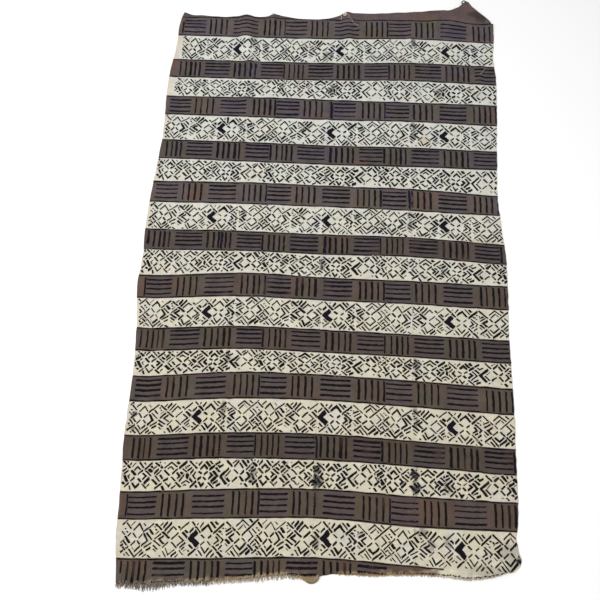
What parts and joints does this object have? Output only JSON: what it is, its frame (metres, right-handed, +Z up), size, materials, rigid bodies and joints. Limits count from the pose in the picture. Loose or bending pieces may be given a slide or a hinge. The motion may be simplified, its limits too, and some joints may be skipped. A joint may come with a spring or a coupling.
{
  "type": "mud cloth",
  "caption": "Handwoven cotton cloth of strips sewn edge to edge, laid flat, with low folds, a turned upper hem and a frayed lower end.",
  "frame": {"origin": "middle of the cloth on the surface that it lies on", "axes": "+Y along the cloth to its hemmed end, +X across it to the right, +Z up through its face"},
  "size_m": [1.0507, 1.7961, 0.0119],
  "materials": {
    "woven_cotton": "matt handwoven cotton, dyed brown and cream in bands",
    "loose_warp": "matt loose cotton yarn"
  },
  "bodies": {
    "root": {"strip_1": "woven_cotton", "strip_2": "woven_cotton", "strip_3": "woven_cotton", "strip_4": "woven_cotton", "fray_1": "loose_warp", "fray_2": "loose_warp"}
  },
  "joints": []
}
